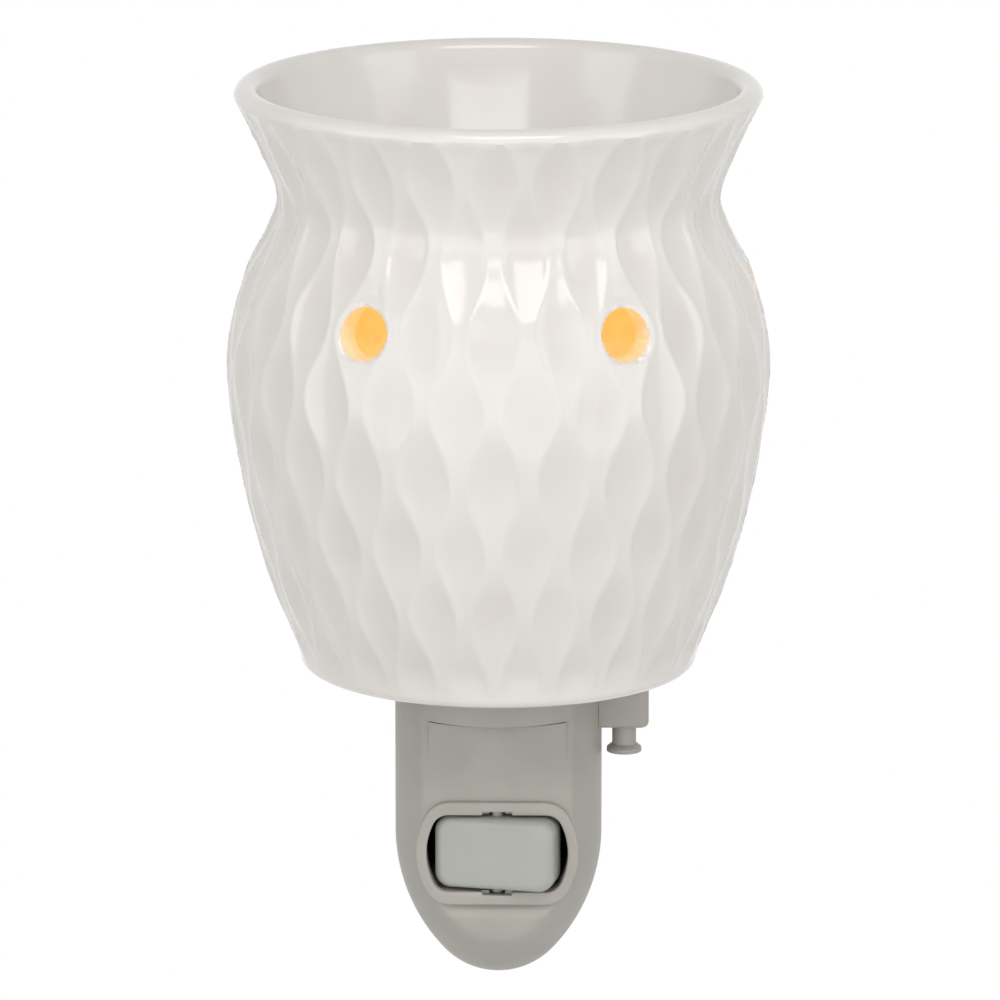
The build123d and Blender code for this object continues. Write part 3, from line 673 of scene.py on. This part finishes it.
def makeShade():
    # the profile is drawn as a closed line of points, spun about the shade's axis and carved
    outline = [(0, place["axisY"] - radius, place["foot"] + height) for radius, height in shadeProfile()]
    edges = [(k, (k + 1) % len(outline)) for k in range(len(outline))]
    piece = newPiece("glazedShade", outline, edges, [])
    spinLine(piece, shade["steps"], toWorld(0, 0, 0), 0.01)
    carveShade(piece)
    print("shade carved", len(piece.data.polygons))
    cutHoles(piece)
    piece.data.materials.append(finishes["stoneware"])
    piece.data.materials.append(finishes["chamber"])
    lightChamber(piece)
    pickOnly(piece)
    bpy.ops.object.shade_smooth_by_angle(angle=math.radians(shade["smoothDeg"]))
    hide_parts("shade", "wax_dish", "shade_floor")
    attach(piece, "shade")
    print("shade done", len(piece.data.polygons))


# the switch, with places as the CAD model has them: the bezel and its opening are round with a
# flat above and below, "chord" is half the height between the flats
switch = {
    "panelY": -60.0,
    "middleZ": -2.6,
    "pivotY": -59.0,
    "bezelRadius": 13.5,
    "bezelChord": 8.8,
    "bezelCorner": 4.6,
    "bezelRise": 1.4,
    "bezelRoot": 0.4,     # how far the bezel goes into the panel
    "bezelEdge": 0.45,
    "openRadius": 11.75,
    "openChord": 6.6,
    "openCorner": 2.8,
    "notchWide": 4.9,
    "notchDeep": 0.55,
    "rockerLong": 20.3,
    "rockerWide": 12.2,
    "rockerFace": 3.6,    # in front of the pivots, and behind them
    "rockerBack": 2.5,
    "rockerWall": 1.4,
    "rockerTop": 1.6,
    "rockerCorner": 2.6,
    "rockerEnd": 1.9,
    "rockerEdge": 1.3,
    "rockerTilt": 12.0,
    "pivotRadius": 0.9,
    "pivotReach": 1.0,
    "pivotRoot": 0.6,
    "pivotEdge": 0.2,
}


def roundedDouble(name, radius, chord, corner, frontY, backY):
    # a round outline with a flat above and below and four rounded corners, drawn out along Y
    reach = math.sqrt((radius - corner) ** 2 - (chord - corner) ** 2)
    turn = math.degrees(math.atan2(chord - corner, reach))
    quarter = arcPoints((reach, chord - corner), corner, 90, turn, 8)
    quarter += arcPoints((0, 0), radius, turn, 0, 12)[1:]
    right = quarter + [(x, -z) for x, z in reversed(quarter[:-1])]
    outline = right + [(-x, z) for x, z in reversed(right)]
    piece = newPiece(name, [(x, frontY, switch["middleZ"] + z) for x, z in outline], [],
                     [list(range(len(outline)))])
    editAll(piece)
    bpy.ops.mesh.extrude_region_move(TRANSFORM_OT_translate={"value": (0, (backY - frontY) * mm, 0)})
    closeSkin()
    return piece


def makeBezel(housing):
    # the flat bezel is trimmed off the housing, and a soft one is made to be joined on
    s = switch
    panel = s["panelY"]
    front = panel - s["bezelRise"]
    spare, sharp = 0.3, 0.2      # the trim is a little wider than the bezel, with sharper corners
    cutWith(housing, roundedDouble("trim", s["bezelRadius"] + spare, s["bezelChord"] + spare, sharp,
                                   front - 3, panel - 0.01))
    bezel = roundedDouble("bezel", s["bezelRadius"], s["bezelChord"], s["bezelCorner"],
                          front, panel + s["bezelRoot"])
    cutWith(bezel, roundedDouble("opening", s["openRadius"], s["openChord"], s["openCorner"],
                                 front - 1, panel + 2))
    notchHigh = 2 * (s["openChord"] + s["notchDeep"])
    bpy.ops.mesh.primitive_cube_add(size=1, location=(0, panel * mm, s["middleZ"] * mm),
                                    scale=(s["notchWide"] * mm, 8 * mm, notchHigh * mm))
    cutWith(bezel, bpy.context.object)
    breakEdges(bezel, "softRim", s["bezelEdge"], 4, 50)
    return bezel


# copies of moulded, turned and stamped nodes with their sharp edges broken, as a mould or a die
# leaves them: finish, slot and the width of the broken edge
softEdges = {
    "front_housing": ("grey", "grey_plastic", 0.14),
    "rear_housing": ("grey", "grey_plastic", 0.16),
    "plug_barrel": ("grey", "grey_plastic", 0.2),
    "carrier_plate": ("grey", "grey_plastic", 0.16),
    "lock_pin": ("grey", "grey_plastic", 0.14),
    "plug_rotor": ("grey", "grey_plastic", 0.2),
    "lamp_socket": ("cream", "white_insulator", 0.25),
    "live_blade": ("brass", "brass", 0.14),
    "neutral_blade": ("brass", "brass", 0.14),
}


def bodyOf(node):
    for name, nodes in frame["record"]["behaviour"]["bodies"].items():
        if node in nodes:
            return name


def softenEdges():
    for node, (finish, slot, width) in softEdges.items():
        piece = mergedCopy(node, node.title().replace("_", "") + "Soft")
        bezel = makeBezel(piece) if node == "front_housing" else None
        breakEdges(piece, "brokenEdge", width, 2, 32)
        if bezel:
            piece = joinPieces([piece, bezel], piece.name)
        finishPiece(piece, finish, bodyOf(node), 35)
        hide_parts(node)
        print("softened", node, len(piece.data.polygons))


# the panel sweeps forward under the collar, which leaves a thin shadow line below its edge
sweep = {
    "top": 19.75,
    "high": 11.5,
    "half": 11.4,         # half its width
    "lip": 0.4,           # it stops this far behind the collar's front
    "steep": 0.98,        # at 1 the sweep would run level into the collar
    "bodyRadius": 17.25,
    "panelDepth": 12.0,   # the panel in front of the body's axis
    "skin": 0.02,
    "thick": 0.6,
    "across": 32,
    "down": 14,
}


def makeSweep():
    # a ring of points for each step across: the swept face from the top down, and two at the back
    s = sweep
    low = s["top"] - s["high"]
    back = switch["panelY"] + s["thick"]
    points = []
    for k in range(s["across"] + 1):
        x = mix(-s["half"], s["half"], k / s["across"])
        reach = max(math.sqrt(s["bodyRadius"] ** 2 - x * x) - s["panelDepth"] - s["lip"], 0)
        for j in range(s["down"] + 1):
            curve = 1 - math.sqrt(1 - ((1 - j / s["down"]) * s["steep"]) ** 2)
            z = s["top"] - s["high"] * j / s["down"]
            points.append((x, switch["panelY"] - s["skin"] - reach * curve, z))
        points += [(x, back, low), (x, back, s["top"])]
    ring = s["down"] + 3
    faces = [[k * ring + j, k * ring + (j + 1) % ring, (k + 1) * ring + (j + 1) % ring, (k + 1) * ring + j]
             for k in range(s["across"]) for j in range(ring)]
    faces += [list(range(ring))[::-1], [s["across"] * ring + j for j in range(ring)]]
    piece = newPiece("panelSweep", points, [], faces)
    editAll(piece)
    closeSkin()
    finishPiece(piece, "grey", "housing", 40)
    print("panel sweep", len(piece.data.polygons))


# below the bezel the panel swells softly into the rounded nose; the nose's sizes are the CAD model's
nose = {
    "top": -1.5,
    "radius": 17.25,
    "high": 24.5,
    "tip": 12.6,
    "from": -11.3,        # the swell starts here and grows over the fade
    "fade": 2.6,
    "swell": 0.9,
    "margin": 0.6,        # it covers the panel's edge by this much
    "skin": 0.02,         # it stands this proud of the nose
    "sunk": 0.25,         # and its rim goes this far in
    "thick": 0.8,
    "rows": 22,
    "across": 40,
}


def noseRadius(z):
    n = nose
    arc = (n["radius"] ** 2 + n["high"] ** 2 - 2 * n["high"] * n["tip"]) / (2 * (n["radius"] - n["tip"]))
    return n["radius"] - arc + math.sqrt(arc ** 2 - (z - n["top"]) ** 2)


def noseFront(low):
    # rows of points over the panel's lower end, closer together towards the rim
    n = nose
    flat = sweep["panelDepth"]
    points = []
    for j in range(n["rows"] + 1):
        z = mix(n["from"], low, math.sin(j / n["rows"] * math.pi / 2))
        radius = noseRadius(z)
        half = math.sqrt(max(radius ** 2 - (flat - n["margin"]) ** 2, 0))
        grow = easeIn((n["from"] - z) / n["fade"])
        for k in range(n["across"] + 1):
            x = half * math.sin(mix(-1, 1, k / n["across"]) * math.pi / 2)
            proud = math.sqrt(radius ** 2 - x * x) - flat
            if proud > 0:
                proud = grow * n["swell"] * (1 - math.exp(-proud / n["swell"]))
            onRim = j in (0, n["rows"]) or k in (0, n["across"])
            proud += -n["sunk"] if onRim else n["skin"]
            points.append((x, switch["panelY"] - proud, z))
    return points


def makeNoseSwell():
    n = nose
    step = 0.02
    low = n["from"]
    while noseRadius(low) > sweep["panelDepth"] - n["margin"]:
        low -= step
    front = noseFront(low + step)
    back = [(x * 0.98, y + n["thick"], mix(z, low, -0.01)) for x, y, z in front]
    rows, across = n["rows"], n["across"]
    wide = across + 1
    count = len(front)
    faces = []
    for a in [j * wide + k for j in range(rows) for k in range(across)]:
        faces.append([a, a + 1, a + wide + 1, a + wide])
        faces.append([count + a + wide, count + a + wide + 1, count + a + 1, count + a])
    rim = list(range(across)) + [j * wide + across for j in range(rows)]
    rim += [rows * wide + k for k in range(across, 0, -1)] + [j * wide for j in range(rows, 0, -1)]
    faces += [[a, count + a, count + b, b] for a, b in zip(rim, rim[1:] + rim[:1])]
    piece = newPiece("noseSwell", front + back, [], faces)
    editAll(piece)
    closeSkin(0.002)
    finishPiece(piece, "grey", "housing", 50)
    print("nose swell", len(piece.data.polygons))


def selectEdges(piece, test):
    # leaves the mesh in edit mode with the edges picked whose two ends pass the test
    pickOnly(piece)
    bpy.ops.object.mode_set(mode="EDIT")
    bpy.ops.mesh.select_mode(type="EDGE")
    bpy.ops.mesh.select_all(action="DESELECT")
    bpy.ops.object.mode_set(mode="OBJECT")
    points = piece.data.vertices
    for edge in piece.data.edges:
        edge.select = test(points[edge.vertices[0]].co, points[edge.vertices[1]].co)
    bpy.ops.object.mode_set(mode="EDIT")


def softenRockerFace(piece, front):
    # the edges round the front are weighted, so that the two ends are rounder than the long sides
    s = switch
    rim = piece.data.attributes.new("bevel_weight_edge", "FLOAT", "EDGE")
    points = piece.data.vertices
    for edge in piece.data.edges:
        a, b = [points[k].co for k in edge.vertices]
        if max(a.y, b.y) < front + 0.01 * mm:
            steep = abs(a.z - b.z) / (b - a).length
            rim.data[edge.index].value = mix(s["rockerEdge"], s["rockerEnd"], steep) / s["rockerEnd"]
    applyModifier(piece, "BEVEL", "worn", width=s["rockerEnd"] * mm, segments=6, limit_method="WEIGHT")


def hollowRocker(piece, deep):
    back = max(piece.data.polygons, key=lambda face: face.center.y)
    piece.data.polygons.foreach_set("select", [face.index == back.index for face in piece.data.polygons])
    bpy.ops.object.mode_set(mode="EDIT")
    bpy.ops.mesh.select_mode(type="FACE")
    bpy.ops.mesh.inset(thickness=switch["rockerWall"] * mm)
    inwards = (0, -(deep - switch["rockerTop"]) * mm, 0)
    bpy.ops.mesh.extrude_region_move(TRANSFORM_OT_translate={"value": inwards})
    bpy.ops.object.mode_set(mode="OBJECT")


def makeRocker():
    # a hollow cap with rounded corners and ends, its two pivots above and below, tipped as at rest
    s = switch
    deep = s["rockerFace"] + s["rockerBack"]
    middle = (0, (s["pivotY"] - s["rockerFace"] + deep / 2) * mm, s["middleZ"] * mm)
    bpy.ops.mesh.primitive_cube_add(size=1, location=middle,
                                    scale=(s["rockerLong"] * mm, deep * mm, s["rockerWide"] * mm))
    piece = bpy.context.object
    bpy.ops.object.transform_apply(location=True, rotation=True, scale=True)
    selectEdges(piece, lambda a, b: abs(a.y - b.y) > 1 * mm)
    bpy.ops.mesh.bevel(offset=s["rockerCorner"] * mm, segments=8, affect="EDGES")
    bpy.ops.object.mode_set(mode="OBJECT")
    softenRockerFace(piece, (s["pivotY"] - s["rockerFace"]) * mm)
    hollowRocker(piece, deep)
    pivots = []
    for side in (1, -1):
        high = s["middleZ"] + side * (s["rockerWide"] / 2 + (s["pivotReach"] - s["pivotRoot"]) / 2)
        bpy.ops.mesh.primitive_cylinder_add(vertices=40, radius=s["pivotRadius"] * mm,
                                            depth=(s["pivotReach"] + s["pivotRoot"]) * mm,
                                            location=(0, s["pivotY"] * mm, high * mm))
        pivots.append(bpy.context.object)
        breakEdges(pivots[-1], "rounded", s["pivotEdge"], 2)
    piece = joinPieces([piece] + pivots, "rockerCap")
    pickOnly(piece)
    bpy.ops.object.transform_apply(location=True, rotation=True, scale=True)
    editAll(piece)
    bpy.ops.transform.rotate(value=math.radians(s["rockerTilt"]), orient_axis="Z",
                             center_override=(0, s["pivotY"] * mm, s["middleZ"] * mm))
    bpy.ops.object.mode_set(mode="OBJECT")
    finishPiece(piece, "rocker", "rocker", 40)
    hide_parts("rocker")
    print("rocker made", len(piece.data.polygons))


# cross-head screws: head and threaded shank turned from one outline, the cross sunk into the head
screw = {
    "headRadius": 2.1,
    "headHeight": 1.2,
    "headShape": ((0.94, 0), (1, 0.12), (1, 0.45), (0.93, 0.72), (0.72, 0.92), (0.4, 1), (0, 1)),
    "shankRadius": 1.1,
    "threadDepth": 0.22,
    "threadPitch": 0.8,
    "point": 0.4,         # the tapered tip, and the plain neck under the head
    "steps": 28,
    "crossWide": 0.55,
    "crossReach": 1.35,
    "crossDepth": 0.8,
}


def turnedPiece(name, outline, steps):
    # a line of (radius, height) points, turned about Z from one end on the axis to the other
    piece = newPiece(name, [(radius, 0, height) for radius, height in outline],
                     [(k, k + 1) for k in range(len(outline) - 1)], [])
    spinLine(piece, steps, (0, 0, 0), 0.001)
    return piece


def makeScrew(length, share):
    # the head's underside is at the origin and the shank points down
    head = screw["headRadius"] * share
    high = screw["headHeight"]
    shank = screw["shankRadius"] * share
    core = shank - screw["threadDepth"]
    point = screw["point"]
    pitch = screw["threadPitch"]
    outline = [(0, -length), (shank * 0.5, -length + point)]
    for k in range(int((length - 3 * point) / pitch)):
        low = -length + 2 * point + k * pitch
        outline += [(core, low), (shank, low + pitch / 2)]
    outline += [(core, -point), (shank, 0)]
    outline += [(head * wide, high * up) for wide, up in screw["headShape"]]
    piece = turnedPiece("screwModel", outline, screw["steps"])
    size = (screw["crossReach"] * 2 * share * mm, screw["crossWide"] * share * mm,
            screw["crossDepth"] * 2 * mm)
    for turn in (0, 90):
        bpy.ops.mesh.primitive_cube_add(size=1, location=(0, 0, high * mm), scale=size,
                                        rotation=(0, 0, math.radians(turn)))
        cutWith(piece, bpy.context.object)
    return piece


def looseBoxes(node):
    # the lowest and highest corner of each screw in a node of several
    mergedCopy(node, "placesOnly")
    bpy.ops.object.mode_set(mode="EDIT")
    bpy.ops.mesh.separate(type="LOOSE")
    bpy.ops.object.mode_set(mode="OBJECT")
    boxes = []
    for part in list(bpy.context.selected_objects):
        corners = [vertex.co for vertex in part.data.vertices]
        boxes.append([Vector([pick(co[k] for co in corners) for k in range(3)]) for pick in (min, max)])
        bpy.data.objects.remove(part)
    return boxes


def makeScrews(node, name, upright, share):
    copies = []
    for low, high in looseBoxes(node):
        middle = (low + high) / 2
        along = 2 if upright else 1
        piece = makeScrew((high[along] - low[along]) / mm - screw["headHeight"], share)
        middle[along] = high[along] - screw["headHeight"] * mm
        piece.location = middle
        piece.rotation_euler = (0, 0, 0.5 + middle.x * 90) if upright else (math.radians(-90), 0, 0)
        copies.append(piece)
    piece = joinPieces(copies, name)
    finishPiece(piece, "steel", "housing", 30)
    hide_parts(node)
    print(name, len(copies))


# the lamp's brass base and the holder's shell, both rolled with a round candelabra thread
thread = {
    "pitch": 2.54,
    "depth": 0.55,
    "steps": 56,
    "wavePoints": 10,
}

lampBase = {
    "edgeHigh": 0.7,      # the rolled edge below the thread
    "threadFrom": 0.5,
    "threadTo": 2.6,      # below the top, where the plain neck begins
    "neckHigh": 2.9,
    "steps": 48,
}

holderShell = {
    "low": -9.2,          # from the shade's foot
    "wall": 0.25,
    "tabWide": 3.0,
    "tabThick": 0.4,
    "tabInset": 0.45,
    "tabLap": 3.0,        # how far the tab runs up beside the thread
    "tabEdge": 0.1,
}


def makeThread(name, radius, low, high, wallMm=0):
    # one pitch of the wavy outline, wound up by a screw modifier and trimmed level at both ends
    pitch = thread["pitch"]
    count = thread["wavePoints"]
    start = low - 2 * pitch
    outline = []
    for k in range(count + 1):
        wave = 0.5 - 0.5 * math.cos(2 * math.pi * k / count)
        outline.append((radius - thread["depth"] * wave, 0, start + pitch * k / count))
    piece = newPiece(name, outline, [(k, k + 1) for k in range(count)], [])
    turns = math.ceil((high - low) / pitch) + 3
    applyModifier(piece, "SCREW", "wind", angle=math.radians(360), screw_offset=pitch * mm, iterations=turns,
                  steps=thread["steps"], render_steps=thread["steps"], axis="Z", use_merge_vertices=True,
                  merge_threshold=0.001 * mm)
    editAll(piece)
    bpy.ops.mesh.remove_doubles(threshold=0.002 * mm)
    for height, outer in ((low, False), (high, True)):
        bpy.ops.mesh.select_all(action="SELECT")
        bpy.ops.mesh.bisect(plane_co=(0, 0, height * mm), plane_no=(0, 0, 1), clear_outer=outer,
                            clear_inner=not outer, use_fill=not wallMm)
    closeSkin()
    if wallMm:
        applyModifier(piece, "SOLIDIFY", "wall", thickness=wallMm * mm, offset=-1)
    return piece


def makeLampBase():
    b = lampBase
    lowest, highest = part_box("bulb_base")
    low, high = lowest[2] / mm, highest[2] / mm
    radius = (highest[0] - lowest[0]) / 2 / mm
    wound = makeThread("lampBase", radius, low + b["threadFrom"], high - b["threadTo"])
    neckLow = high - b["neckHigh"]
    neck = turnedPiece("lampNeck", [(0, neckLow), (radius - 0.2, neckLow), (radius, high - 2.4),
                                    (radius, high - 0.7), (radius - 0.25, high - 0.15),
                                    (radius - 0.7, high), (0, high)], b["steps"])
    edgeTop = low + b["edgeHigh"]
    edge = turnedPiece("lampEdge", [(0, low), (radius - 0.45, low), (radius - 0.2, low + 0.3),
                                    (radius - 0.3, edgeTop), (0, edgeTop)], b["steps"])
    piece = joinPieces([wound, neck, edge], "lampBase")
    piece.location = (0, place["axisY"] * mm, 0)
    finishPiece(piece, "brass", "bulb", 40)
    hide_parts("bulb_base")
    print("lamp base wound", len(piece.data.polygons))


def makeHolderShell():
    h = holderShell
    lowest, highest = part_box("socket_shell")
    radius = (highest[0] - lowest[0]) / 2 / mm
    low = place["foot"] + h["low"]
    wound = makeThread("holderShell", radius, low, highest[2] / mm, h["wall"])
    tabLow, tabHigh = lowest[2] / mm, low + h["tabLap"]
    bpy.ops.mesh.primitive_cube_add(
        size=1, location=(0, (radius - h["tabInset"]) * mm, (tabLow + tabHigh) / 2 * mm),
        scale=(h["tabWide"] * mm, h["tabThick"] * mm, (tabHigh - tabLow) * mm))
    tab = bpy.context.object
    applyModifier(tab, "BEVEL", "sheared", width=h["tabEdge"] * mm, segments=2)
    piece = joinPieces([wound, tab], "holderShell")
    piece.location = (0, place["axisY"] * mm, 0)
    finishPiece(piece, "brass", "housing", 40)
    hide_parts("socket_shell")
    print("holder shell wound", len(piece.data.polygons))


# floor and lights: places and aims are from the middle of the shade's foot
studio = {
    "floor": "#E8E8E8",
    "floorDrop": 260.0,
    "world": "#FFFDFA",
    "worldStrength": 0.36,
    "lights": {           # place, aim, size and power
        "softboxAbove": ((60, -520, 620), (0, 0, 60), (520, 360), 1.8),
        "softboxLeft": ((-700, -420, 160), (0, 0, 30), (400, 700), 1.0),
        "softboxRight": ((700, -420, 160), (0, 0, 30), (400, 700), 1.0),
        "softboxFront": ((0, -1000, -40), (0, 0, 20), (2200, 1000), 5.2),
    },
}
plainWhite = {"Color": (1, 1, 1, 1), "Strength": 1.0}


def whiteRays(tree):
    # 1 for rays that should see plain white: the camera's, and those through glass or off gloss
    rays = addNode(tree, "ShaderNodeLightPath")
    clear = addNode(tree, "ShaderNodeMath", {"operation": "MAXIMUM"}, {
        0: rays.outputs["Is Camera Ray"], 1: rays.outputs["Is Transmission Ray"]}).outputs["Value"]
    return addNode(tree, "ShaderNodeMath", {"operation": "MAXIMUM"}, {
        0: clear, 1: rays.outputs["Is Glossy Ray"]}).outputs["Value"]


def addFloor():
    deselectAll()
    bpy.ops.mesh.primitive_plane_add(size=6, location=(0, 0, -studio["floorDrop"] * mm))
    floor = bpy.context.object
    floor.name = "studioFloor"
    material = bpy.data.materials.new("paleFloor")
    material.use_nodes = True
    tree = material.node_tree
    tree.nodes.clear()
    matt = addNode(tree, "ShaderNodeBsdfDiffuse", None, {"Color": linear(studio["floor"])})
    white = addNode(tree, "ShaderNodeEmission", None, plainWhite)
    surface = addNode(tree, "ShaderNodeMixShader", None, {
        0: whiteRays(tree), 1: matt.outputs["BSDF"], 2: white.outputs["Emission"]})
    addNode(tree, "ShaderNodeOutputMaterial", None, {"Surface": surface.outputs["Shader"]})
    giveMaterial(floor, material)


def addWorld():
    world = bpy.data.worlds.new("studioWorld")
    bpy.context.scene.world = world
    world.use_nodes = True
    tree = world.node_tree
    tree.nodes.clear()
    soft = addNode(tree, "ShaderNodeBackground", None, {
        "Color": linear(studio["world"]), "Strength": studio["worldStrength"]})
    white = addNode(tree, "ShaderNodeBackground", None, plainWhite)
    surface = addNode(tree, "ShaderNodeMixShader", None, {
        0: whiteRays(tree), 1: soft.outputs["Background"], 2: white.outputs["Background"]})
    addNode(tree, "ShaderNodeOutputWorld", None, {"Surface": surface.outputs["Shader"]})


def addLights():
    for name, (spot, aim, size, power) in studio["lights"].items():
        data = bpy.data.lights.new(name, "AREA")
        data.shape = "RECTANGLE"
        data.size = size[0] * mm
        data.size_y = size[1] * mm
        data.energy = power
        light = bpy.data.objects.new(name, data)
        bpy.context.collection.objects.link(light)
        light.location = toWorld(*spot)
        light.rotation_euler = (toWorld(*aim) - light.location).to_track_quat("-Z", "Y").to_euler()
    print("floor, world and lights set")


addCamera()
finishes = {
    "stoneware": glazedStoneware(),
    "chamber": paintedLampGlowStoneware(),
    "brass": rolledBrass(),
    "steel": platedSteel(),
    "glass": lampGlass(),
    "wire": glowingWire(),
    "vitrite": blackVitrite(),
}
for finish, values in plastics["kinds"].items():
    finishes[finish] = mouldedPlastic(*values)
print("materials made", len(finishes))
colourPlainNodes()
makeShade()
softenEdges()
makeSweep()
makeNoseSwell()
makeRocker()
makeScrews("plate_screws", "plateScrews", True, 1.0)
makeScrews("housing_screws", "housingScrews", False, 1.0)
makeScrews("retainer_screws", "retainerScrews", False, 0.5)
makeLampBase()
makeHolderShell()
addWorld()
addFloor()
addLights()
